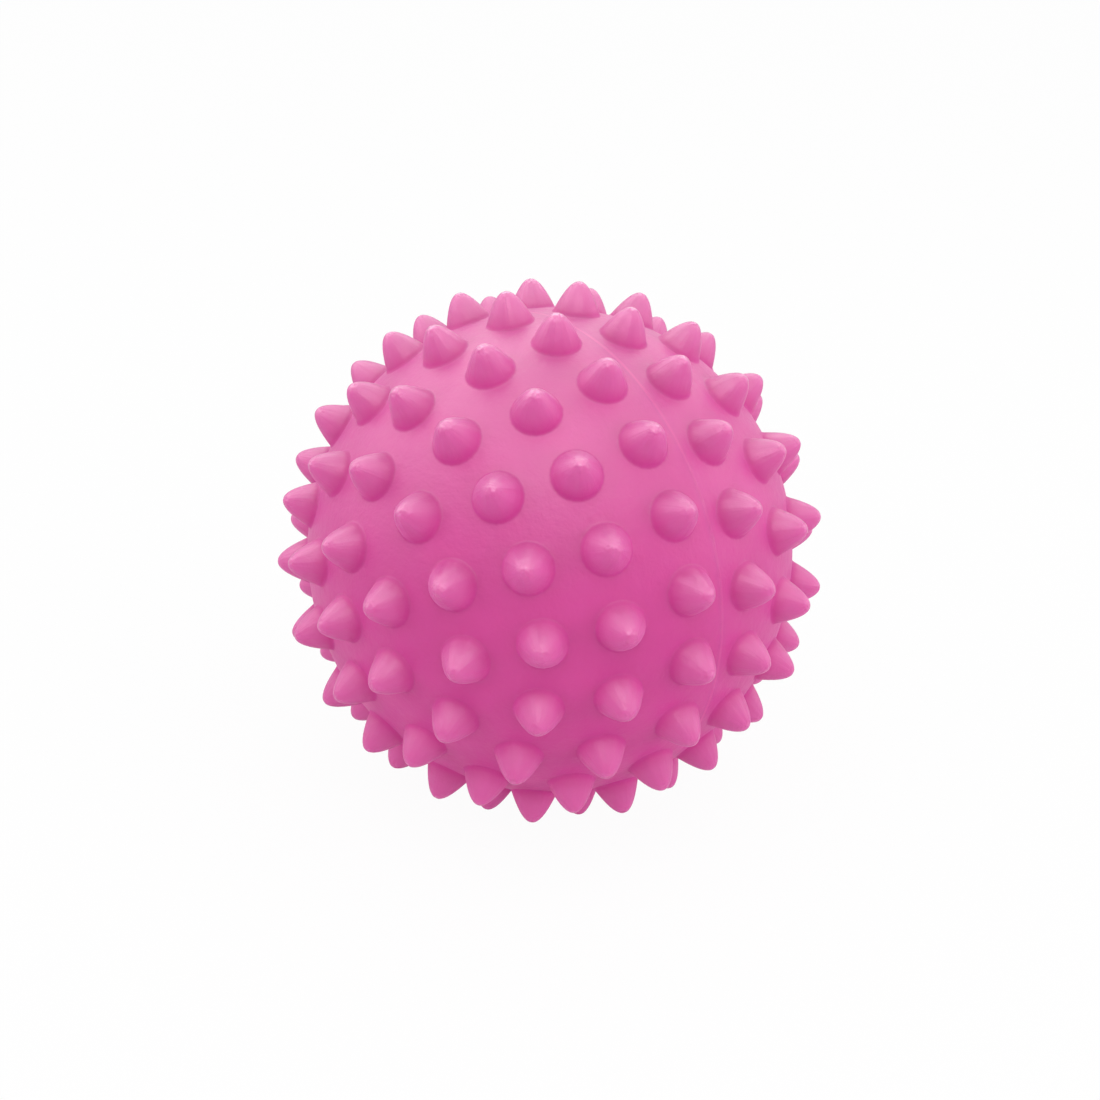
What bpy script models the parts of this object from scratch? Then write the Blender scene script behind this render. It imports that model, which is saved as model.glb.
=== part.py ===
"""Spiky massage ball: two moulded half shells covered in round-tipped spikes, and a push-in air plug.

Metres, +Z up. The origin is the ball's centre. The mould axis runs along Y: the front pole, which carries a
spike, is at -Y, and the air valve is at +Y. The two half shells meet on the seam, in the plane y = 0.
The spikes stand in rows round the mould axis, one row for each step of the pitch from pole to pole.
"""
from math import acos, atan2, cos, hypot, pi, radians, sin, sqrt

import bmesh
import bpy
from mathutils import Vector
from mathutils.geometry import delaunay_2d_cdt

# Ball
CORE_DIAMETER = 0.0802
WALL = 0.0030
SEAM_GAP = 0.0003

# Spikes
SPIKE_HEIGHT = 0.0049
SPIKE_BASE_DIAMETER = 0.0076
SPIKE_TIP_RADIUS = 0.00145
SPIKE_SIDE_BULGE = 0.00025
SPIKE_PITCH = 0.01145
SPIKE_LAND_CLEARANCE = 0.0004

# Rows: where each half starts its rows, and how far each row, counted from its pole, is turned from there
FRONT_START = radians(56.0)
BACK_START = radians(321.0)
FRONT_ROW_TURNS = (0.0, -3.0, -1.0, 1.0, 2.0, -0.5)
BACK_ROW_TURNS = (0.0, 0.0, -0.5, 2.0, -1.5, 0.0)

# Air valve
FIT_GAP = 0.0003
LAND_DIAMETER = 0.0105
BOSS_DIAMETER = 0.0104
BOSS_DEPTH = 0.0085
HEAD_DIAMETER = 0.0066
HEAD_THICKNESS = 0.0014
HEAD_EDGE = 0.0003
RIB_DIAMETER = 0.0042
RIB_HALF_WIDTH = 0.0006
RIB_PLACES = (0.30, 0.65)
STEM_DIAMETER = 0.0036
STEM_TIP_DIAMETER = 0.0026
STEM_OVERHANG = 0.0012

# Facets
SPIKE_SIDES = 10
TURNED_SIDES = 44
INNER_ROWS = 6
PLUG_SIDES = 24
SHARP_ANGLE = radians(50.0)

# Looks: linear colour, roughness
PINK = (0.66, 0.115, 0.34, 1.0)
PLUG_WHITE = (0.80, 0.78, 0.76, 1.0)
SOFT_SATIN = 0.42
PLUG_SATIN = 0.35

CORE_RADIUS = CORE_DIAMETER / 2
INNER_RADIUS = CORE_RADIUS - WALL
BASE_RADIUS = SPIKE_BASE_DIAMETER / 2
LAND_RADIUS = LAND_DIAMETER / 2
LAND_Y = sqrt(CORE_RADIUS ** 2 - LAND_RADIUS ** 2)
FRONT, BACK = -1, 1
NO_LENGTH = 1e-6


def clear_scene():
    """Removes every object that is already in the file."""
    for old in list(bpy.data.objects):
        bpy.data.objects.remove(old)


def material(name, colour, roughness):
    """Returns a plain non-metal material."""
    made = bpy.data.materials.new(name)
    made.use_nodes = True
    shader = made.node_tree.nodes["Principled BSDF"]
    shader.inputs["Base Color"].default_value = colour
    shader.inputs["Roughness"].default_value = roughness
    shader.inputs["Metallic"].default_value = 0.0
    return made


def finish(name, bm, look):
    """Turns a closed bmesh into a smooth-shaded object with its faces pointing out."""
    bmesh.ops.recalc_face_normals(bm, faces=bm.faces)
    mesh = bpy.data.meshes.new(name)
    bm.to_mesh(mesh)
    bm.free()
    mesh.shade_smooth()
    mesh.set_sharp_from_angle(angle=SHARP_ANGLE)
    mesh.materials.append(look)
    made = bpy.data.objects.new(name, mesh)
    bpy.context.collection.objects.link(made)
    return made


def around(axis, radius, along, sides):
    """Returns the points of a circle round an axis through the origin, at a distance along that axis."""
    side = Vector((0, 1, 0)).cross(axis)
    along_y = side.length < NO_LENGTH
    if along_y:
        side = Vector((0, 0, 1))
    side.normalize()
    other = axis.cross(side)
    angles = [2 * pi * i / sides for i in range(sides)]
    return [axis * along + (side * cos(a) + other * sin(a)) * radius for a in angles]


def add_ring(bm, points):
    """Adds a ring of vertices."""
    return [bm.verts.new(point) for point in points]


def join_rings(bm, rings):
    """Joins each ring to the next with a band of four-sided faces."""
    for ring, following in zip(rings, rings[1:]):
        count = len(ring)
        for i in range(count):
            j = (i + 1) % count
            bm.faces.new((ring[i], ring[j], following[j], following[i]))


def close_ring(bm, ring, point):
    """Closes a ring with a fan of faces to one point."""
    tip = bm.verts.new(point)
    for i in range(len(ring)):
        bm.faces.new((ring[i], ring[(i + 1) % len(ring)], tip))


def spike_axes(half):
    """Returns the spikes' directions on one half, leaving out any that would stand on the valve's land.

    The rows lie at equal steps from pole to pole. The number of steps is odd, so the seam runs between two
    rows. Each row has as many spikes as fit at the pitch, spread evenly from the half's starting meridian.
    """
    steps = 2 * round((pi * CORE_RADIUS / SPIKE_PITCH - 1) / 2) + 1
    step = pi / steps
    turns = FRONT_ROW_TURNS if half == FRONT else BACK_ROW_TURNS
    start = FRONT_START if half == FRONT else BACK_START
    axes = []
    for row in range(steps // 2 + 1):
        from_pole = row * step
        if half == BACK and from_pole * CORE_RADIUS < LAND_RADIUS + BASE_RADIUS + SPIKE_LAND_CLEARANCE:
            continue
        turn = radians(turns[row]) if row < len(turns) else 0.0
        count = max(1, round(2 * pi * sin(from_pole) / step))
        for i in range(count):
            angle = start + turn + 2 * pi * i / count
            x = sin(from_pole) * sin(angle)
            y = half * cos(from_pole)
            z = sin(from_pole) * cos(angle)
            axes.append(Vector((x, y, z)))
    return axes


def spike_profile():
    """Returns a spike's profile, base to tip, as radius and distance from the ball's centre.

    The flank runs from the base circle to the round tip, which it meets at a tangent, and bows out a little.
    """
    base_along = sqrt(CORE_RADIUS ** 2 - BASE_RADIUS ** 2)
    tip_centre = CORE_RADIUS + SPIKE_HEIGHT - SPIKE_TIP_RADIUS
    reach = hypot(BASE_RADIUS, base_along - tip_centre)
    meet = atan2(base_along - tip_centre, BASE_RADIUS) + acos(SPIKE_TIP_RADIUS / reach)
    meet_radius = SPIKE_TIP_RADIUS * cos(meet)
    meet_along = tip_centre + SPIKE_TIP_RADIUS * sin(meet)
    middle_radius = (BASE_RADIUS + meet_radius) / 2 + SPIKE_SIDE_BULGE * cos(meet)
    middle_along = (base_along + meet_along) / 2 + SPIKE_SIDE_BULGE * sin(meet)
    crown = (meet + pi / 2) / 2
    crown_radius = SPIKE_TIP_RADIUS * cos(crown)
    crown_along = tip_centre + SPIKE_TIP_RADIUS * sin(crown)
    return [
        (BASE_RADIUS, base_along),
        (middle_radius, middle_along),
        (meet_radius, meet_along),
        (crown_radius, crown_along),
    ]


def add_spike(bm, axis):
    """Adds one spike's flank and round tip, and returns its base ring."""
    rings = [add_ring(bm, around(axis, radius, along, SPIKE_SIDES)) for radius, along in spike_profile()]
    join_rings(bm, rings)
    close_ring(bm, rings[-1], axis * (CORE_RADIUS + SPIKE_HEIGHT))
    return rings[0]


def fill_skin(bm, half, outline, holes):
    """Fills the round wall between the seam's ring and the rings of the spikes and the valve.

    The rings are laid flat by stereographic projection from the other pole, which keeps every circle round,
    and the flat area is cut into well-shaped triangles. Those that lie inside a hole are left out.
    """
    loops = [outline] + holes
    ring_verts = [vert for loop in loops for vert in loop]
    loop_of = [number for number, loop in enumerate(loops) for vert in loop]
    flat = []
    for vert in ring_verts:
        spread = CORE_RADIUS + half * vert.co.y
        flat.append(Vector((vert.co.x / spread, vert.co.z / spread)))
    edges = []
    first = 0
    for loop in loops:
        count = len(loop)
        edges += [(first + i, first + (i + 1) % count) for i in range(count)]
        first += count
    inside_outline = 1
    merge_distance = 1e-7
    filled = delaunay_2d_cdt(flat, edges, [], inside_outline, merge_distance)
    sources = [source[0] for source in filled[3]]
    for face in filled[2]:
        corners = [sources[corner] for corner in face]
        in_a_hole = len({loop_of[corner] for corner in corners}) == 1
        if not in_a_hole:
            bm.faces.new([ring_verts[corner] for corner in corners])


def inner_wall(half):
    """Returns the smooth inner wall's profile, from the seam towards the pole, as radius and y."""
    seam_y = SEAM_GAP / 2
    last = BOSS_DIAMETER / 2 if half == BACK else INNER_RADIUS * sin(pi / 2 / INNER_ROWS)
    lowest = acos(seam_y / INNER_RADIUS)
    highest = atan2(last, sqrt(INNER_RADIUS ** 2 - last ** 2))
    angles = [lowest + (highest - lowest) * i / (INNER_ROWS - 1) for i in range(INNER_ROWS)]
    return [(INNER_RADIUS * sin(a), half * INNER_RADIUS * cos(a)) for a in angles]


def valve_seat():
    """Returns the profile of the valve's boss and stepped bore, from the inner wall to the land's edge."""
    bore_radius = RIB_DIAMETER / 2 + FIT_GAP
    recess_radius = HEAD_DIAMETER / 2 + FIT_GAP
    recess_y = LAND_Y - HEAD_THICKNESS - FIT_GAP
    boss_end = LAND_Y - BOSS_DEPTH
    return [
        (BOSS_DIAMETER / 2, boss_end),
        (bore_radius, boss_end),
        (bore_radius, recess_y),
        (recess_radius, recess_y),
        (recess_radius, LAND_Y),
    ]


def half_shell(name, half, look):
    """Makes one half of the skin: round wall, spikes, rim on the seam and smooth inner wall."""
    bm = bmesh.new()
    up = Vector((0, 1, 0))
    rim_radius = sqrt(CORE_RADIUS ** 2 - (SEAM_GAP / 2) ** 2)
    rim = add_ring(bm, around(up, rim_radius, half * SEAM_GAP / 2, TURNED_SIDES))
    holes = [add_spike(bm, axis) for axis in spike_axes(half)]
    profile = inner_wall(half)
    if half == BACK:
        profile += valve_seat()
    turned = [rim] + [add_ring(bm, around(up, radius, y, TURNED_SIDES)) for radius, y in profile]
    if half == BACK:
        land = add_ring(bm, around(up, LAND_RADIUS, LAND_Y, TURNED_SIDES))
        holes.append(land)
        turned.append(land)
    else:
        close_ring(bm, turned[-1], up * half * INNER_RADIUS)
    join_rings(bm, turned)
    fill_skin(bm, half, rim, holes)
    return finish(name, bm, look)


def plug_profile():
    """Returns the plug's profile from its head's face down to its tip, as radius and y below the face."""
    stem_length = BOSS_DEPTH + STEM_OVERHANG - HEAD_THICKNESS
    head_radius = HEAD_DIAMETER / 2
    profile = [
        (head_radius - HEAD_EDGE, 0.0),
        (head_radius, -HEAD_EDGE),
        (head_radius, -HEAD_THICKNESS),
        (STEM_DIAMETER / 2, -HEAD_THICKNESS),
    ]
    for place in RIB_PLACES:
        crest = -HEAD_THICKNESS - place * stem_length
        profile += [
            (STEM_DIAMETER / 2, crest + RIB_HALF_WIDTH),
            (RIB_DIAMETER / 2, crest),
            (STEM_DIAMETER / 2, crest - RIB_HALF_WIDTH),
        ]
    profile.append((STEM_TIP_DIAMETER / 2, -HEAD_THICKNESS - stem_length))
    return profile


def valve_plug(name, look):
    """Makes the push-in plug, with its origin on its sliding axis at the middle of its head's face."""
    bm = bmesh.new()
    up = Vector((0, 1, 0))
    rings = [add_ring(bm, around(up, radius, y, PLUG_SIDES)) for radius, y in plug_profile()]
    join_rings(bm, rings)
    bm.faces.new(rings[0])
    bm.faces.new(rings[-1])
    return finish(name, bm, look)


clear_scene()
skin_look = material("pink_soft_vinyl", PINK, SOFT_SATIN)
plug_look = material("white_plug_plastic", PLUG_WHITE, PLUG_SATIN)
front_half = half_shell("front_half_shell", FRONT, skin_look)
back_half = half_shell("back_half_shell", BACK, skin_look)
plug = valve_plug("valve_plug", plug_look)
plug.location = (0.0, LAND_Y, 0.0)
plug.parent = back_half
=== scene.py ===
# %% [markdown]
# A spiky massage ball is a hollow skin of soft pink vinyl, moulded as two half shells with rows of
# round-tipped spikes, and a small plug that keeps the air in. This lesson loads the plain solids, works
# the skin out again as fine surfaces, gives each piece its finish, and lights it as on a white table. All
# lengths are in metres.

# %% Load the solids
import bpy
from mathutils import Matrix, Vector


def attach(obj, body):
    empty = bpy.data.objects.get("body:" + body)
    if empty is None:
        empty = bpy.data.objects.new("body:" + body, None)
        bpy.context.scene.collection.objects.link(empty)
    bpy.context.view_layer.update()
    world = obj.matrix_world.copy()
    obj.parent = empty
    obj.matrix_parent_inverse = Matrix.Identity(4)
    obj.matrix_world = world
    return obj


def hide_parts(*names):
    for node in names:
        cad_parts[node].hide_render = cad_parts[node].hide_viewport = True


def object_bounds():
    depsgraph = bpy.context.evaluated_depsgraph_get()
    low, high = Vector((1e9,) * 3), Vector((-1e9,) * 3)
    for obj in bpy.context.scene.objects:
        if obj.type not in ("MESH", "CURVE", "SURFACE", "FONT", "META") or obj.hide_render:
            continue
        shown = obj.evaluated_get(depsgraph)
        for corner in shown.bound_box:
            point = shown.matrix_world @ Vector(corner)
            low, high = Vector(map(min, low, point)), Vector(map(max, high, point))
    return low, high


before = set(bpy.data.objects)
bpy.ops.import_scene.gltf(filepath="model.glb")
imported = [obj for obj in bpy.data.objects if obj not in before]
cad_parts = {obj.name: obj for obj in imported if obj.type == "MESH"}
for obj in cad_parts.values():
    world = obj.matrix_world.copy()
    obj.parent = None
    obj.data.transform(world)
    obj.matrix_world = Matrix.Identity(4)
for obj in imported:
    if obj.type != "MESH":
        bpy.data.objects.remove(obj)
cad_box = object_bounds()
print("solids:", sorted(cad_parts), "box:", [tuple(corner) for corner in cad_box])

# %% Tools that the lesson uses
import math

import bmesh
import bpy
import numpy as np
from mathutils import Quaternion, Vector
from mathutils.geometry import delaunay_2d_cdt

MM = 0.001
print("one millimetre is", MM, "m")

# %% [markdown]
# Every size here is the size on the solids, so that each surface lies where its solid is. The ball's centre
# is the origin. The mould axis runs along Y, with a spike on the front pole at -Y and the air valve at +Y.

# %% Sizes of the ball
CORE_RADIUS = 40.1 * MM
WALL = 3.0 * MM
INNER_RADIUS = CORE_RADIUS - WALL
SPIKE_HEIGHT = 4.9 * MM
BASE_RADIUS = 3.8 * MM
LAND_RADIUS = 5.25 * MM
LAND_Y = math.sqrt(CORE_RADIUS ** 2 - LAND_RADIUS ** 2)
FRONT, BACK = -1, 1
print("across the tips:", round(2 * (CORE_RADIUS + SPIKE_HEIGHT) / MM, 1), "mm")

# %% [markdown]
# The spikes stand in rows round the mould axis, as beads on circles of latitude. They could be scattered
# over a sphere by an even spread, but the real ones keep to rows, so each row gets its own circle. Eleven
# steps reach from pole to pole, so the seam runs between two rows. A row has as many spikes as fit at one
# step apart. The rows of the two halves start at different meridians.

# %% Directions of the spikes
STEPS_BETWEEN_POLES = 11
STEP = math.pi / STEPS_BETWEEN_POLES
ROWS_PER_HALF = 6
ROW_START = {FRONT: 56.0, BACK: 321.0}
ROW_TURNS = {FRONT: (0.0, -3.0, -1.0, 1.0, 2.0, -0.5), BACK: (0.0, 0.0, -0.5, 2.0, -1.5, 0.0)}
LAND_CLEARANCE = 0.4 * MM


def spike_axes(half):
    """Unit vectors of one half's spikes. Row r lies r steps from the pole, and spike i of its n spikes
    stands at the start angle plus the row's turn plus i / n of a full circle. None stands on the valve's
    land."""
    tilts = STEP * np.arange(ROWS_PER_HALF)
    counts = np.maximum(1, np.round(2 * np.pi * np.sin(tilts) / STEP)).astype(int)
    row = np.repeat(np.arange(ROWS_PER_HALF), counts)
    place = np.arange(len(row)) - np.repeat(np.cumsum(counts) - counts, counts)
    start = np.radians(ROW_START[half] + np.array(ROW_TURNS[half])[row])
    angle = start + 2 * np.pi * place / counts[row]
    tilt = tilts[row]
    ring = np.sin(tilt)
    axes = np.stack([ring * np.sin(angle), half * np.cos(tilt), ring * np.cos(angle)], axis=-1)
    off_land = tilt * CORE_RADIUS > LAND_RADIUS + BASE_RADIUS + LAND_CLEARANCE
    return axes[off_land | (half == FRONT)]


print("spikes:", len(spike_axes(FRONT)), "in front and", len(spike_axes(BACK)), "at the back")

# %% [markdown]
# One spike is a blunt cone with slightly bowed flanks. A cone with a ball on top would show a ring where the
# two meet, and a parabola would be too fat, so the outline is a hyperbola, which is round at the tip and
# straightens towards the root. A small fillet joins it to the core. The mould leaves a tiny pit in each tip,
# which breaks up the light there.

# %% Outline of a spike
TIP_BLUNTNESS = 1.5
ROOT_FILLET = 0.45 * MM
ROOT_MARGIN = 0.35 * MM
WEB_RADIUS = BASE_RADIUS + ROOT_MARGIN
PIT_RADIUS = 0.20 * MM
PIT_DEPTH = 0.05 * MM
PIT_RIM = 0.034 * MM


def spike_outline(radius):
    """Distance from the ball's centre at a radius from the spike's axis.

    With x the radius as a share of the base radius and e the bluntness, the drop from the tip is
    proportional to sqrt(e*e + x*x) - e. The larger of spike and core is taken. Where they differ by less
    than the fillet f, (f - difference) squared over 4 f is added. A bell curve is taken off at the tip for
    the pit, and the spike is so much higher that the pit's rim comes to the full height."""
    share = radius / BASE_RADIUS
    tip = CORE_RADIUS + SPIKE_HEIGHT + PIT_RIM
    reach = tip - math.sqrt(CORE_RADIUS ** 2 - BASE_RADIUS ** 2)
    full_drop = math.sqrt(TIP_BLUNTNESS ** 2 + 1) - TIP_BLUNTNESS
    drop = reach * (np.sqrt(TIP_BLUNTNESS ** 2 + share ** 2) - TIP_BLUNTNESS) / full_drop
    spike = tip - drop
    core = np.sqrt(CORE_RADIUS ** 2 - radius ** 2)
    near = np.clip(ROOT_FILLET - np.abs(spike - core), 0.0, None)
    pit = PIT_DEPTH * np.exp(-(radius / PIT_RADIUS) ** 2)
    return np.maximum(spike, core) + near ** 2 / (4 * ROOT_FILLET) - pit


print("height of the pit's middle:", round(float(spike_outline(0.0) - CORE_RADIUS) / MM, 3), "mm")

# %% [markdown]
# The surface needs rings close together where the outline bends most, at the root's fillet and round the
# pit, and fewer on the flank. Even steps would spend most of them on the flank, so the rings come in three
# groups, and those at the tip crowd towards its middle.

# %% Rings of a spike
ROOT_END = 3.3 * MM
FLANK_START = 2.9 * MM
FLANK_END = 0.85 * MM
TIP_START = 0.62 * MM
ROOT_RINGS, FLANK_RINGS, TIP_RINGS = 6, 6, 5
TIP_CROWDING = 1.5

root_rings = np.linspace(WEB_RADIUS, ROOT_END, ROOT_RINGS)
flank_rings = np.linspace(FLANK_START, FLANK_END, FLANK_RINGS)
tip_rings = TIP_START * np.linspace(1.0, 0.0, TIP_RINGS) ** TIP_CROWDING
SPIKE_RADII = np.concatenate([root_rings, flank_rings, tip_rings])
spike_rise = float(spike_outline(SPIKE_RADII).max()) - CORE_RADIUS
print("a spike has", len(SPIKE_RADII), "rings and is", round(spike_rise / MM, 3), "mm high")

# %% [markdown]
# A spike's surface is its outline carried round its axis. One spike could be modelled and copied to every
# place, but all spikes of a half have to be one skin, so they are worked out at once, as one array with a
# place for the spike, the ring and the step round the ring.

# %% Points of the spikes
SPIKE_SIDES = 22
TOO_SHORT = 1e-9


def across(axes):
    """Two unit vectors square to each axis: the cross product of Y and the axis, or Z at a pole, and the
    cross product of the axis and that one."""
    side = np.cross((0.0, 1.0, 0.0), axes)
    length = np.linalg.norm(side, axis=-1, keepdims=True)
    at_pole = length < TOO_SHORT
    side = np.where(at_pole, (0.0, 0.0, 1.0), side / np.where(at_pole, 1.0, length))
    return side, np.cross(axes, side)


def turns(steps):
    """Angles of a number of equal steps round a full circle, from 0."""
    return 2 * np.pi * np.arange(steps) / steps


def spike_points(axes):
    """Points by spike, ring and step: the axis times the outline, plus a circle of the ring's radius that
    lies square to the axis."""
    side, other = across(axes)
    turn = turns(SPIKE_SIDES)[:, None]
    circle = side[:, None] * np.cos(turn) + other[:, None] * np.sin(turn)
    along = spike_outline(SPIKE_RADII)[:, None, None]
    return axes[:, None, None] * along + circle[:, None] * SPIKE_RADII[:, None, None]


print("points of one spike:", spike_points(spike_axes(FRONT))[0].shape)

# %% [markdown]
# The finish draws fine lines up the flanks. A layout of the surface on a flat picture could guide them, but
# it is enough that each point keeps where it stands round its spike. The faces join each ring to the next,
# and since the numbers of their corners follow a rule, they are worked out as one array too.

# %% Marks and faces of the spikes


def flank_marks(count):
    """A vector for each point of a number of spikes: cosine and sine of its turn, and its spike's number."""
    turn = turns(SPIKE_SIDES)
    shape = (count, len(SPIKE_RADII), SPIKE_SIDES)
    number = np.arange(count)[:, None, None]
    marks = [np.broadcast_to(part, shape) for part in (np.cos(turn), np.sin(turn), number)]
    return np.stack(marks, axis=-1).reshape(-1, 3)


def grid_faces(first, rings, steps):
    """Corner numbers of the four-sided faces of a grid that is closed round its rings. Its points are
    numbered from a first number, ring by ring."""
    ring, step = np.meshgrid(np.arange(rings - 1), np.arange(steps), indexing="ij")
    following = (step + 1) % steps
    corners = [ring * steps + step, ring * steps + following]
    corners += [(ring + 1) * steps + following, (ring + 1) * steps + step]
    return first + np.stack(corners, axis=-1).reshape(-1, 4)


print("faces of one spike:", len(grid_faces(0, len(SPIKE_RADII), SPIKE_SIDES)))

# %% [markdown]
# The rim and the smooth inner wall are turned shapes, given by an outline of radius and y. They could be
# cut from two spheres, but an outline gives their rows directly. On the seam the two halves all but touch,
# as they do where they are welded, and the outer edges are drawn in a little for the faint parting line.

# %% Outline of the wall
SLIT = 0.001 * MM
LIP = 0.20 * MM
LIP_DEPTH = 0.002 * MM
EDGE_STEPS = 5
WALL_ROWS = 16


def arc(centre, radius, start, end, steps=EDGE_STEPS):
    """Points on a circle's arc, as radius and y: the centre plus the circle's radius times the cosine and
    sine of equal steps between two angles in degrees."""
    angle = np.radians(np.linspace(start, end, steps))
    return np.stack([centre[0] + radius * np.cos(angle), centre[1] + radius * np.sin(angle)], axis=-1)


def shell_outline(half, last_radius):
    """From the core at the parting line, over the rim, to a last radius on the inner wall, as radius and
    y. The inner wall is an arc about the ball's centre."""
    lip = [(math.sqrt(CORE_RADIUS ** 2 - LIP ** 2), LIP), (CORE_RADIUS - LIP_DEPTH, SLIT / 2)]
    lowest = math.asin(SLIT / 2 / INNER_RADIUS)
    highest = math.acos(last_radius / INNER_RADIUS)
    inner = arc((0.0, 0.0), INNER_RADIUS, math.degrees(lowest), math.degrees(highest), WALL_ROWS)
    return np.concatenate([lip, inner]) * (1.0, half)


print("rows of the front wall:", len(shell_outline(FRONT, 0.0)))

# %% [markdown]
# The valve is a bore through a boss on the inside, with a recess for the plug's head. Bevels could soften
# its edges later. Here the outline has the arcs in it, so no edge is knife sharp and the rows stay in order.

# %% Outline of the valve's seat
BORE_RADIUS = 2.4 * MM
RECESS_RADIUS = 3.6 * MM
RECESS_DEPTH = 1.7 * MM
RECESS_Y = LAND_Y - RECESS_DEPTH
BOSS_RADIUS = 5.2 * MM
BOSS_DEPTH = 8.5 * MM
BOSS_Y = LAND_Y - BOSS_DEPTH
EDGE = 0.35 * MM


def valve_outline():
    """From the inner wall over the boss, up the bore and the recess, to the land's edge, as radius and y.
    Quarter circles round the edges."""
    return np.concatenate([
        arc((BOSS_RADIUS - EDGE, BOSS_Y + EDGE), EDGE, 0, -90),
        arc((BORE_RADIUS + EDGE, BOSS_Y + EDGE), EDGE, 270, 180),
        arc((BORE_RADIUS + EDGE, RECESS_Y - EDGE), EDGE, 180, 90),
        [(RECESS_RADIUS, RECESS_Y)],
        arc((RECESS_RADIUS + EDGE, LAND_Y - EDGE), EDGE, 180, 90),
        [(LAND_RADIUS, LAND_Y)],
    ])


print("rows of the valve's seat:", len(valve_outline()))

# %% [markdown]
# An outline becomes a surface when it is carried once round the Y axis. A Screw modifier could do that, but
# the points of the first and last ring have to be known, because the web joins them.

# %% Turned surfaces
TURNED_SIDES = 132


def turned_points(outline, sides):
    """Points by row and step: x and z are the outline's radius times the sine and cosine of the turn, and
    y stays."""
    turn = turns(sides)
    radius, height = outline[:, :1], outline[:, 1:]
    level = np.broadcast_to(height, (len(outline), sides))
    return np.stack([radius * np.sin(turn), level, radius * np.cos(turn)], axis=-1)


print("points of the valve's seat:", turned_points(valve_outline(), TURNED_SIDES).shape)

# %% [markdown]
# The skin between the spikes is part of a sphere with round holes in it, which no single grid fits. The
# circles of a globe would crowd at the poles, so spare points are spread over it like seeds in a sunflower.

# %% Spare points of the web
WEB_SPACING = 1.35 * MM
SEED_MARGIN = 0.55 * WEB_SPACING
GOLDEN_ANGLE = math.pi * (3 - math.sqrt(5))


def web_seeds(half, axes):
    """Points spread evenly on one half of the core: point i turns by the golden angle and climbs by equal
    areas. Those near a spike, the seam or the valve's land are left out."""
    count = int(2 * np.pi * CORE_RADIUS ** 2 / WEB_SPACING ** 2)
    number = np.arange(count) + 0.5
    height = number / count
    ring = np.sqrt(1 - height ** 2)
    turn = GOLDEN_ANGLE * number
    seeds = np.stack([ring * np.sin(turn), half * height, ring * np.cos(turn)], axis=-1)
    to_spike = np.arccos(np.clip(seeds @ axes.T, -1, 1)).min(axis=1) * CORE_RADIUS
    to_pole = ring * CORE_RADIUS
    free = (to_spike > WEB_RADIUS + SEED_MARGIN) & (height * CORE_RADIUS > LIP + SEED_MARGIN)
    free &= (half == FRONT) | (to_pole > LAND_RADIUS + SEED_MARGIN)
    return CORE_RADIUS * seeds[free]


print("seeds on the front:", len(web_seeds(FRONT, spike_axes(FRONT))))

# %% [markdown]
# The web joins the spare points to the rings of the spikes, the seam and the valve's land. Blender can cut
# a flat area into even triangles, so all points are laid flat by stereographic projection, which keeps
# circles round. The triangles inside a hole are those with all corners on one ring, and they are left out.

# %% Triangles of the web
INSIDE_OUTLINE = 1
CUT_PRECISION = 1e-7


def web_faces(points, half, loops, seeds):
    """Triangles, as point numbers, between closed loops of points, the first of which is the outer edge. The
    flat place of a point is its x and z over the core radius plus its height, counted towards the pole."""
    numbers = np.concatenate(loops + [seeds])
    loop_marks = [np.full(len(loop), i) for i, loop in enumerate(loops)]
    owner = np.concatenate(loop_marks + [np.full(len(seeds), -1)])
    used = points[numbers]
    flat = used[:, ::2] / (CORE_RADIUS + half * used[:, 1:2])
    starts = np.cumsum([0] + [len(loop) for loop in loops])
    edges = np.concatenate([
        first + np.stack([np.arange(len(loop)), np.roll(np.arange(len(loop)), -1)], axis=-1)
        for first, loop in zip(starts, loops)
    ])
    cut = delaunay_2d_cdt(flat.tolist(), edges.tolist(), [], INSIDE_OUTLINE, CUT_PRECISION)
    triangles, origins = cut[2:4]
    source = np.array([origin[0] for origin in origins])
    corners = source[np.array(triangles)]
    owners = owner[corners]
    in_hole = (owners[:, 0] > 0) & (owners == owners[:, :1]).all(axis=1)
    return numbers[corners[~in_hole]]


print("flat points within", CUT_PRECISION, "are taken as one")

# %% [markdown]
# A worked-out surface becomes a mesh from its points and faces. The points that fall together at the tips
# and at the poles are merged, and then all faces are turned outwards. Smooth shading hides the facets, and
# edges that bend sharply stay crisp.

# %% Meshes from points and faces
MERGE = 1e-7
SHARP_ANGLE = math.radians(50)


def new_object(name, data):
    """An object with its data, linked to the scene."""
    made = bpy.data.objects.new(name, data)
    bpy.context.scene.collection.objects.link(made)
    return made


def finished_mesh(name, points, face_lists, flank=None):
    """An object at the origin with merged points, faces pointing out and smooth shading. A vector for each
    point may be kept with the mesh, as the attribute that the finish reads."""
    mesh = bpy.data.meshes.new(name)
    faces = sum([part.tolist() for part in face_lists], [])
    mesh.from_pydata(points.tolist(), [], faces)
    if flank is not None:
        kept = mesh.attributes.new("flank", "FLOAT_VECTOR", "POINT")
        kept.data.foreach_set("vector", flank.ravel())
    work = bmesh.new()
    work.from_mesh(mesh)
    bmesh.ops.remove_doubles(work, verts=work.verts, dist=MERGE)
    bmesh.ops.recalc_face_normals(work, faces=work.faces)
    open_edges = sum(not edge.is_manifold for edge in work.edges)
    work.to_mesh(mesh)
    work.free()
    mesh.shade_smooth()
    mesh.set_sharp_from_angle(angle=SHARP_ANGLE)
    print(name, "faces:", len(mesh.polygons), "open edges:", open_edges)
    return new_object(name, mesh)


print("points closer than", MERGE, "m are merged")

# %% [markdown]
# Each half skin is one closed mesh, because the real one is moulded in one. Spikes that were set into a
# sphere would leave a crease and hidden faces, so the spikes, the turned wall and the web share the points
# of their rings.

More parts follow.
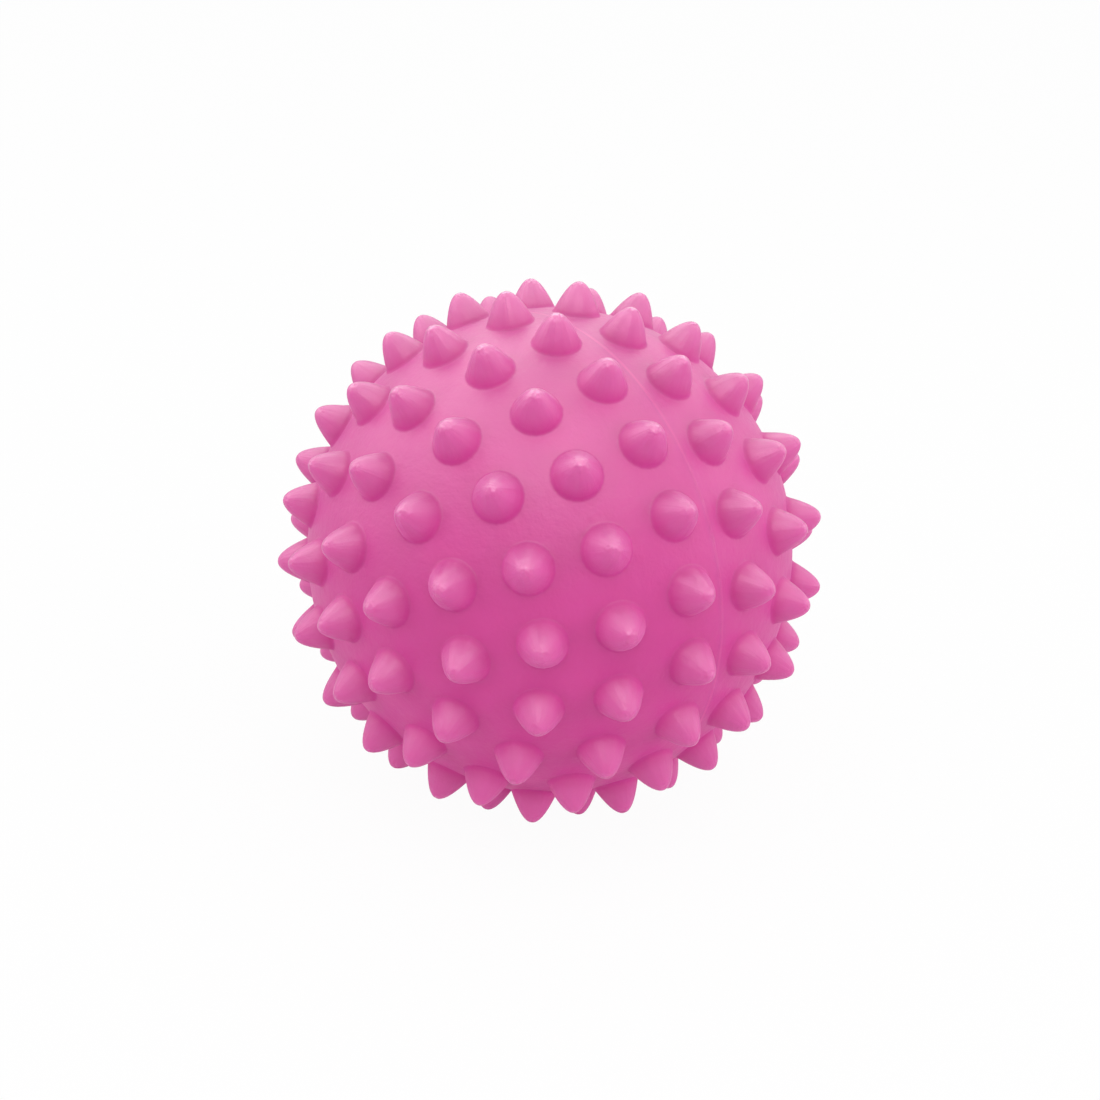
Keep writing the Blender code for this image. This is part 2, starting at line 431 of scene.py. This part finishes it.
# %% Build the two half skins


def half_skin(name, half):
    """One half: grids for the spikes and the turned wall, and the web that fills the area between them."""
    axes = spike_axes(half)
    spikes = spike_points(axes)
    count, rings = spikes.shape[:2]
    outline = shell_outline(half, 0.0 if half == FRONT else BOSS_RADIUS)
    if half == BACK:
        outline = np.concatenate([outline, valve_outline()])
    walls = turned_points(outline, TURNED_SIDES)
    seeds = web_seeds(half, axes)
    points = np.concatenate([spikes.reshape(-1, 3), walls.reshape(-1, 3), seeds])
    per_spike = rings * SPIKE_SIDES
    firsts = per_spike * np.arange(count)
    wall_first = per_spike * count
    seed_first = wall_first + len(outline) * TURNED_SIDES
    spike_faces = (grid_faces(0, rings, SPIKE_SIDES)[None] + firsts[:, None, None]).reshape(-1, 4)
    wall_faces = grid_faces(wall_first, len(outline), TURNED_SIDES)
    loops = [wall_first + np.arange(TURNED_SIDES)]
    loops += [first + np.arange(SPIKE_SIDES) for first in firsts]
    if half == BACK:
        loops.append(seed_first - TURNED_SIDES + np.arange(TURNED_SIDES))
    web = web_faces(points, half, loops, seed_first + np.arange(len(seeds)))
    flank = np.zeros_like(points)
    flank[:wall_first] = flank_marks(count)
    return finished_mesh(name, points, [spike_faces, wall_faces, web], flank)


front_skin = half_skin("front_skin", FRONT)
back_skin = half_skin("back_skin", BACK)

# %% [markdown]
# The plug is pushed into the valve with its head flush with the land. It could be stacked from cylinders,
# but a moulded plug has no sharp steps, so it is turned like the seat from one outline: a dished head with a
# rounded edge, and a stem with two soft ribs that grip the bore and a blunt tip.

# %% Outline of the plug
HEAD_RADIUS = 3.3 * MM
HEAD_THICKNESS = 1.4 * MM
HEAD_EDGE = 0.30 * MM
DISH_RADIUS = 2.0 * MM
DISH_DEPTH = 0.25 * MM
DISH_ROWS = 9
STEM_RADIUS = 1.8 * MM
STEM_TIP_RADIUS = 1.3 * MM
STEM_LENGTH = 8.3 * MM
STEM_ROWS = 60
RIB_RISE = 0.3 * MM
RIB_HALF_WIDTH = 0.6 * MM
RIB_PLACES = (0.30, 0.65)


def plug_outline():
    """From the middle of the head's face to the stem's tip, as radius and y. The dish is a cosine dip. The
    stem keeps its radius to the last rib and then narrows, and each rib adds half a cosine wave to it."""
    dish_radius = np.linspace(0.0, DISH_RADIUS, DISH_ROWS)
    dish_y = -DISH_DEPTH * (1 + np.cos(np.pi * dish_radius / DISH_RADIUS)) / 2
    dish = np.stack([dish_radius, dish_y], axis=-1)
    top_edge = arc((HEAD_RADIUS - HEAD_EDGE, -HEAD_EDGE), HEAD_EDGE, 90, 0)
    low_edge = arc((HEAD_RADIUS - HEAD_EDGE, HEAD_EDGE - HEAD_THICKNESS), HEAD_EDGE, 0, -90)
    down = np.linspace(0.0, 1.0, STEM_ROWS)
    crests = np.array(RIB_PLACES)[:, None]
    away = np.clip(np.abs(down - crests) * STEM_LENGTH / RIB_HALF_WIDTH, 0, 1)
    ribs = RIB_RISE * ((1 + np.cos(np.pi * away)) / 2).sum(axis=0)
    last_rib = RIB_PLACES[-1] + RIB_HALF_WIDTH / STEM_LENGTH
    narrowing = np.clip((down - last_rib) / (1 - last_rib), 0, 1) * (STEM_RADIUS - STEM_TIP_RADIUS)
    stem = np.stack([STEM_RADIUS - narrowing + ribs, -HEAD_THICKNESS - down * STEM_LENGTH], axis=-1)
    tip = [(0.0, -HEAD_THICKNESS - STEM_LENGTH)]
    return np.concatenate([dish, top_edge, low_edge, stem, tip]) + (0.0, LAND_Y)


print("rows of the plug:", len(plug_outline()))

# %% [markdown]
# The plug is one closed surface: its outline starts and ends on the axis, so the turned grid closes itself
# once the points there are merged.

# %% Build the plug
PLUG_SIDES = 64

plug_points = turned_points(plug_outline(), PLUG_SIDES)
plug_faces = grid_faces(0, len(plug_points), PLUG_SIDES)
air_plug = finished_mesh("air_plug", plug_points.reshape(-1, 3), [plug_faces])

# %% [markdown]
# A finish is a network of nodes. Writing it as sums and products of sockets is shorter than placing nodes
# one by one: this class wraps a socket, and each operator adds the Math node that it stands for.

# %% A socket that does arithmetic


class Socket:
    """A node socket in an expression. The operators add Math nodes, and node() adds a node of any type. One
    that is made from a tree alone only adds nodes to that tree."""

    def __init__(self, tree, socket=None):
        self.tree = tree
        self.socket = socket

    def node(self, kind, settings=None, output=0, **inputs):
        """Adds a node: settings first, then values or links by the socket's name or number."""
        made = self.tree.nodes.new(kind)
        for name, value in (settings or {}).items():
            setattr(made, name, value)
        for name, value in inputs.items():
            key = int(name[1:]) if name[0] == "_" else name.replace("_", " ")
            feed(self.tree, made.inputs[key], value)
        return Socket(self.tree, made.outputs[output])

    def maths(self, operation, *values):
        """Adds a Math node with an operation on one or more values."""
        numbered = {f"_{i}": value for i, value in enumerate(values)}
        return self.node("ShaderNodeMath", {"operation": operation}, **numbered)

    def __add__(self, other):
        return self.maths("ADD", self, other)

    def __sub__(self, other):
        return self.maths("SUBTRACT", self, other)

    def __rsub__(self, other):
        return self.maths("SUBTRACT", other, self)

    def __mul__(self, other):
        return self.maths("MULTIPLY", self, other)

    def __abs__(self):
        return self.maths("ABSOLUTE", self)

    __radd__ = __add__
    __rmul__ = __mul__

    def smooth(self, low, high):
        """0 below low, 1 above high, and a smooth step between."""
        settings = {"interpolation_type": "SMOOTHSTEP"}
        return self.node("ShaderNodeMapRange", settings, Value=self, From_Min=low, From_Max=high)

    def noise(self, size, detail):
        """Noise around 0.5 with patches of about a size. The socket is the point that it is read at."""
        return self.node("ShaderNodeTexNoise", Vector=self, Scale=1 / size, Detail=detail)

    def ripple(self, size, detail):
        """The same noise around 0."""
        return self.noise(size, detail) - 0.5

    def blend(self, low, high):
        """A colour between two colours, with this socket as the share of the second."""
        return self.node("ShaderNodeMix", {"data_type": "RGBA"}, output=2, _0=self, _6=low, _7=high)


def feed(tree, entry, value):
    """Puts a number, a colour or another socket into a node's input."""
    if isinstance(value, Socket):
        tree.links.new(value.socket, entry)
    else:
        entry.default_value = value


print("methods of a socket:", [name for name in vars(Socket) if not name.startswith("__")])

# %% [markdown]
# All finishes here use the Principled shader. What is the same all over a piece is set on the shader itself.
# What changes over the surface comes from expressions, and the relief, a height in metres, goes through a
# Bump node.

# %% Helpers for a finish


def new_finish(name, constants):
    """A material with the shader's constant values set. Returns it and the point that is being shaded."""
    made = bpy.data.materials.new(name)
    made.use_nodes = True
    shader = made.node_tree.nodes["Principled BSDF"]
    for socket, value in constants.items():
        shader.inputs[socket].default_value = value
    return made, Socket(made.node_tree).node("ShaderNodeTexCoord", output="Object")


def dress(finish, relief, **inputs):
    """Feeds expressions into a finish's shader by the names of its sockets, and the relief into its
    normal."""
    tree = finish.node_tree
    shader = tree.nodes["Principled BSDF"]
    for name, value in inputs.items():
        feed(tree, shader.inputs[name.replace("_", " ")], value)
    bump = relief.node("ShaderNodeBump", Strength=1.0, Distance=1.0, Height=relief)
    feed(tree, shader.inputs["Normal"], bump)
    print(finish.name, "nodes:", len(tree.nodes))


print("helpers:", new_finish.__name__, "and", dress.__name__)

# %% [markdown]
# Soft vinyl is dyed through, and light enters the skin and comes out close by, which fills the corners at
# the roots. Colour alone would look like paint, so the shader scatters light below the surface. A light
# bloom at grazing angles is the dusty look of soft vinyl.

# %% Pink soft vinyl
vinyl, point = new_finish("satin_vinyl", {
    "Metallic": 0.0,
    "IOR": 1.53,
    "Coat Roughness": 0.16,
    "Sheen Weight": 0.05,
    "Sheen Roughness": 0.5,
    "Subsurface Weight": 0.6,
    "Subsurface Radius": (1.0, 0.5, 0.8),
    "Subsurface Scale": 1.6 * MM,
})
print("vinyl:", vinyl.name)

# %% [markdown]
# The finish differs between the root, the flank and the tip of a spike and along the seam. Painted masks
# would have to be drawn on every spike. The distance from the ball's centre says how high up a spike a point
# is, and y says how far it is from the seam, so two numbers give all the masks.

# %% Where a point lies on the skin
SPIKE_BAND = (0.0, 0.5 * SPIKE_HEIGHT)
ROOT_RISE = (0.0, 0.10 * MM)
ROOT_FADE = (0.3 * MM, 1.0 * MM)
COAT_BAND = (0.3 * SPIKE_HEIGHT, 0.7 * SPIKE_HEIGHT)
TIP_BAND = (0.75 * SPIKE_HEIGHT, SPIKE_HEIGHT)
SPECK_BAND = (0.92 * SPIKE_HEIGHT, 0.995 * SPIKE_HEIGHT)
SEAM_BAND = (0.27 * MM, 0.9 * MM)
SEAM_LINE = (0.0, 0.45 * MM)

rise = point.node("ShaderNodeVectorMath", {"operation": "LENGTH"}, output="Value", _0=point)
from_seam = abs(point.node("ShaderNodeSeparateXYZ", output="Y", Vector=point))


def over_core(low, high):
    """A share that goes smoothly from 0 at one height over the core to 1 at another."""
    return rise.smooth(CORE_RADIUS + low, CORE_RADIUS + high)


spike_share = over_core(*SPIKE_BAND)
root_share = over_core(*ROOT_RISE) - over_core(*ROOT_FADE)
coat_share = over_core(*COAT_BAND)
tip_share = over_core(*TIP_BAND)
speck_share = over_core(*SPECK_BAND)
seam_share = 1 - from_seam.smooth(*SEAM_BAND)
line_share = 1 - from_seam.smooth(*SEAM_LINE)
print("masks made with", len(vinyl.node_tree.nodes), "nodes")

# %% [markdown]
# The mould gives the vinyl a fine grain and a coarser mottle. The spikes were drawn out of it, which leaves
# lines up their flanks, and small uneven marks on the tips break their shine into specks. Along the seam the
# flash was trimmed, which leaves scratches that run with the seam. Each is a noise of its own size. The
# scratches are noise that is stretched round the seam, and the lines are noise of the turn round the spike.

# %% Marks of the mould
CLOUD_SIZE = 14 * MM
CLOUD_EDGES = (0.35, 0.70)
GRAIN_SIZE = 0.45 * MM
MOTTLE_SIZE = 1.6 * MM
TIP_MARK_SIZE = 0.9 * MM
SCRATCH_SIZE = 0.6 * MM
SCRATCH_STRETCH = (0.08, 3.0, 0.08)
LINE_WIDTH = 0.25
MUCH_DETAIL, SOME_DETAIL, LITTLE_DETAIL = 3.0, 2.0, 1.0

clouds = point.noise(CLOUD_SIZE, MUCH_DETAIL).smooth(*CLOUD_EDGES)
grain = point.ripple(GRAIN_SIZE, MUCH_DETAIL)
mottle = point.ripple(MOTTLE_SIZE, MUCH_DETAIL)
tip_marks = point.ripple(TIP_MARK_SIZE, LITTLE_DETAIL) * tip_share
stretched = point.node("ShaderNodeMapping", Vector=point, Scale=SCRATCH_STRETCH)
scratches = stretched.ripple(SCRATCH_SIZE, SOME_DETAIL) * seam_share
flank = point.node("ShaderNodeAttribute", {"attribute_name": "flank"}, output="Vector")
flank_lines = flank.ripple(LINE_WIDTH, SOME_DETAIL) * spike_share * (1 - tip_share)
print("masks and marks made with", len(vinyl.node_tree.nodes), "nodes")

# %% [markdown]
# The pink hardly changes: broad cloudy patches are slightly deeper, and the trimmed line on the seam is
# paler. The spikes are painted paler as well, a painted glow that stands in for light shining through their
# thin vinyl. The gloss is a satin. The corners at the roots stay matt, and the spikes are rubbed smoother in
# use, so they get a thin clear coat, thickest on the tips. Painted pictures would blur from close by, so all
# of this is sums of the masks and marks.

# %% Colour, gloss and relief of the vinyl
VINYL_PINK = (0.542, 0.034, 0.254, 1.0)
VINYL_DEEP = (0.510, 0.029, 0.237, 1.0)
# A paler pink for the spikes: painted glow, standing in for light that shines through their thin vinyl.
PAINTED_GLOW_PINK = (0.567, 0.071, 0.297, 1.0)
VINYL_TRIMMED = (0.630, 0.052, 0.287, 1.0)
SATIN = 0.50
GRAIN_GLOSS, CLOUD_GLOSS, LINE_GLOSS = 0.12, 0.06, 0.30
TIP_POLISH, ROOT_MATT = 0.14, 0.26
FLANK_COAT, TIP_COAT = 0.08, 0.32
GRAIN_RELIEF, TIP_GRAIN_RELIEF = 0.030 * MM, 0.060 * MM
MOTTLE_RELIEF, TIP_MARK_RELIEF = 0.110 * MM, 0.30 * MM
LINE_RELIEF, SCRATCH_RELIEF = 0.130 * MM, 0.06 * MM

plain_pink = clouds.blend(VINYL_PINK, VINYL_DEEP)
skin_pink = line_share.blend(plain_pink, VINYL_TRIMMED)
worn = SATIN + GRAIN_GLOSS * grain + CLOUD_GLOSS * clouds - TIP_POLISH * tip_share
mould_relief = grain * (GRAIN_RELIEF + TIP_GRAIN_RELIEF * tip_share) + mottle * MOTTLE_RELIEF
drawn_relief = flank_lines * LINE_RELIEF + tip_marks * TIP_MARK_RELIEF + scratches * SCRATCH_RELIEF
dress(
    vinyl,
    mould_relief + drawn_relief,
    # The spikes are painted paler here: painted glow for light shining through them.
    Base_Color=spike_share.blend(skin_pink, PAINTED_GLOW_PINK),
    Roughness=worn + ROOT_MATT * root_share + LINE_GLOSS * flank_lines,
    Coat_Weight=FLANK_COAT * coat_share + TIP_COAT * speck_share,
)

# %% [markdown]
# The plug is a harder white plastic with a satin face. A plain white would look unreal next to the vinyl, so
# handling leaves it a little greyer in broad patches, and its mould gives it a very fine grain.

# %% White plug plastic
PLUG_WHITE = (0.80, 0.78, 0.76, 1.0)
PLUG_GREY = (0.70, 0.68, 0.66, 1.0)
HANDLED_SIZE = 3 * MM
HANDLED_EDGES = (0.40, 0.75)
PLUG_GRAIN_SIZE = 0.2 * MM
PLUG_GRAIN_RELIEF = 0.002 * MM
PLUG_SATIN = 0.32
HANDLED_GLOSS, PLUG_GRAIN_GLOSS = 0.10, 0.06

plastic, plug_point = new_finish("satin_plug_plastic", {"Metallic": 0.0, "IOR": 1.49})
handled = plug_point.noise(HANDLED_SIZE, MUCH_DETAIL).smooth(*HANDLED_EDGES)
plug_grain = plug_point.ripple(PLUG_GRAIN_SIZE, SOME_DETAIL)
dress(
    plastic,
    plug_grain * PLUG_GRAIN_RELIEF,
    Base_Color=handled.blend(PLUG_WHITE, PLUG_GREY),
    Roughness=PLUG_SATIN + HANDLED_GLOSS * handled + PLUG_GRAIN_GLOSS * plug_grain,
)

# %% [markdown]
# Each new piece stands for its solid, which is hidden, takes the finish made here for it, and rides on the
# body that carries the solid, so the plug slides out of the ball when its joint moves.

# %% Hand the pieces to their bodies
PIECES = (
    (front_skin, "front_half_shell", "ball", "pink_soft_vinyl", vinyl),
    (back_skin, "back_half_shell", "ball", "pink_soft_vinyl", vinyl),
    (air_plug, "valve_plug", "plug", "white_plug_plastic", plastic),
)
for piece, node, body, slot, look in PIECES:
    piece.data.materials.append(look)
    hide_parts(node)
    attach(piece, body)
    print(piece.name, "stands for", node, "on", body)

# %% [markdown]
# The ball lies on a white table that reaches past the picture. A square plane would do, but its corners
# could show in a low view, so the table is a wide round disc at the height of the lowest tips.

# %% White table
TABLE_Z = cad_box[0].z
TABLE_RADIUS = 4.0
TABLE_SIDES = 96

table_turn = turns(TABLE_SIDES)
table_edge = np.stack([np.cos(table_turn), np.sin(table_turn), np.zeros(TABLE_SIDES)], axis=-1)
table_points = table_edge * TABLE_RADIUS + (0.0, 0.0, TABLE_Z)
table_mesh = bpy.data.meshes.new("white_table")
table_mesh.from_pydata(table_points.tolist(), [], [list(range(TABLE_SIDES))])
new_object("white_table", table_mesh)
print("table at z =", round(TABLE_Z / MM, 2), "mm")

# %% [markdown]
# A table that is only lit would come out grey in places, so to the camera it is nearly plain white, with a
# small share of the lit surface, which keeps the ball's shadow. For all other light it is the lit surface,
# which throws light back at the ball's underside.

# %% Finish of the table
TABLE_WHITE = (0.82, 0.82, 0.82, 1.0)
PLAIN_WHITE = (1.0, 1.0, 1.0, 1.0)
PLAIN_SHARE = 0.95

table_finish = bpy.data.materials.new("table_white")
table_finish.use_nodes = True
table_tree = table_finish.node_tree
table_tree.nodes.remove(table_tree.nodes["Principled BSDF"])
table_start = Socket(table_tree)
table_ray = table_start.node("ShaderNodeLightPath", output="Is Camera Ray")
lit = table_start.node("ShaderNodeBsdfDiffuse", Color=TABLE_WHITE)
plain = table_start.node("ShaderNodeEmission", Color=PLAIN_WHITE, Strength=1.0)
seen = table_start.node("ShaderNodeMixShader", _0=table_ray * PLAIN_SHARE, _1=lit, _2=plain)
feed(table_tree, table_tree.nodes["Material Output"].inputs["Surface"], seen)
table_mesh.materials.append(table_finish)
print(table_finish.name, "nodes:", len(table_tree.nodes))

# %% [markdown]
# The light is a white studio. A picture of a room would put its own shapes into the gloss, so the surround
# is even. It is a little dimmer than white where it lights the ball, so that the soft boxes can add to it,
# and plain white to the camera and in reflections.

# %% White surround
SURROUND = 0.85

world = bpy.data.worlds.new("white_surround")
bpy.context.scene.world = world
world.use_nodes = True
world_tree = world.node_tree
world_start = Socket(world_tree)
camera_ray = world_start.node("ShaderNodeLightPath", output="Is Camera Ray")
glossy_ray = world_start.node("ShaderNodeLightPath", output="Is Glossy Ray")
clear_ray = world_start.node("ShaderNodeLightPath", output="Is Transmission Ray")
shown = world_start.maths("MAXIMUM", world_start.maths("MAXIMUM", camera_ray, glossy_ray), clear_ray)
background = world_tree.nodes["Background"]
background.inputs["Color"].default_value = PLAIN_WHITE
feed(world_tree, background.inputs["Strength"], SURROUND + shown * (1.0 - SURROUND))
print("surround lights at", SURROUND)

# %% [markdown]
# A soft box is a lamp behind a wide white cloth. A glowing sheet of mesh could stand for it, but an area
# light is made for this, and its size and power are set directly.

# %% A soft box
CAMERA_AZIMUTH = 48.54


def from_ball(azimuth, elevation):
    """Unit vector from the ball. The azimuth counts from the camera's side towards its right. x is the
    turn's sine and y is minus its cosine, both times the lift's cosine, and z is the lift's sine."""
    turn = math.radians(CAMERA_AZIMUTH + azimuth)
    lift = math.radians(elevation)
    return Vector((math.sin(turn) * math.cos(lift), -math.cos(turn) * math.cos(lift), math.sin(lift)))


def soft_box(name, azimuth, elevation, distance, width, height, brightness):
    """An area light that faces the ball. Its brightness is what a mirror would show of it, with 1 as white,
    and its power is pi times its area times that."""
    lamp = bpy.data.lights.new(name, "AREA")
    lamp.shape = "RECTANGLE"
    lamp.size = width
    lamp.size_y = height
    lamp.energy = math.pi * width * height * brightness
    made = new_object(name, lamp)
    towards = from_ball(azimuth, elevation)
    made.location = towards * distance
    made.rotation_mode = "QUATERNION"
    made.rotation_quaternion = towards.to_track_quat("Z", "Y")
    return made


print("towards the camera's side:", [round(value, 3) for value in from_ball(0.0, 0.0)])

# %% [markdown]
# Two sets of soft boxes stand round the ball. One set alone would tie the gloss to the colour, so the sheen
# boxes show in the gloss alone and the fill boxes light the colour alone. The sheen boxes stand above, in
# front, at both sides and behind, and the nearest ones make the gloss fade from the top of the ball to its
# underside. Most fill boxes stand low, so that the underside is as strongly coloured as the top. Each row
# gives a box's name, azimuth, elevation, distance, width, height and brightness.

# %% Place the soft boxes
SHEEN_BOXES = (
    ("overhead_box", 0, 90, 0.22, 0.25, 0.25, 1.6),
    ("high_front_box", 0, 62, 0.30, 0.20, 0.16, 4.3),
    ("front_box", 0, 45, 0.80, 0.40, 0.30, 2.0),
    ("left_box", -62, 44, 0.80, 0.20, 0.50, 1.4),
    ("right_box", 62, 46, 0.80, 0.25, 0.25, 4.2),
    ("left_side_box", -90, 28, 0.50, 0.40, 0.40, 1.8),
    ("right_side_box", 90, 28, 0.50, 0.40, 0.40, 0.9),
    ("left_rim_box", -115, 45, 0.40, 0.30, 0.30, 3.1),
    ("right_rim_box", 115, 45, 0.40, 0.30, 0.30, 1.4),
    ("back_box", 180, 45, 0.40, 0.50, 0.30, 3.4),
    ("low_left_box", -110, 15, 0.80, 0.70, 0.25, 1.1),
    ("low_right_box", 110, 15, 0.80, 0.70, 0.25, 1.6),
)
FILL_BOXES = (
    ("left_fill_box", -70, 14, 0.80, 0.60, 0.30, 2.4),
    ("right_fill_box", 70, 14, 0.80, 0.60, 0.30, 3.45),
    ("front_fill_box", 0, 2, 0.80, 0.80, 0.20, 1.0),
    ("top_fill_box", 0, 65, 0.80, 0.60, 0.40, 1.6),
)
for box in SHEEN_BOXES:
    soft_box(*box).visible_diffuse = False
for box in FILL_BOXES:
    soft_box(*box).visible_glossy = False
print("soft boxes:", [lamp.name for lamp in bpy.data.lights])

# %% [markdown]
# The camera stands about where the photograph was taken: a quarter of a metre from the ball's centre, above
# it and to its right, and turned a little round its own axis. A longer lens from further away would give the
# same size, but another perspective.

# %% Camera
CAMERA_ELEVATION = 28.55
CAMERA_DISTANCE = 0.2497
CAMERA_ROLL = 4.25
FOCAL_LENGTH = 48.77
SENSOR_WIDTH = 36.0
NEAREST_SEEN = 0.01

lens = bpy.data.cameras.new("camera")
lens.lens = FOCAL_LENGTH
lens.sensor_width = SENSOR_WIDTH
lens.clip_start = NEAREST_SEEN
camera = new_object("camera", lens)
view_from = from_ball(0.0, CAMERA_ELEVATION)
camera.location = view_from * CAMERA_DISTANCE
camera.rotation_mode = "QUATERNION"
roll = Quaternion((0.0, 0.0, 1.0), math.radians(CAMERA_ROLL))
camera.rotation_quaternion = (-view_from).to_track_quat("-Z", "Y") @ roll
bpy.context.scene.camera = camera
bpy.context.scene.view_settings.view_transform = "Standard"
print("camera at", [round(value, 4) for value in camera.location])

# %% [markdown]
# The skins stand where the solids stand, so the dressed ball is as large as the solid one.
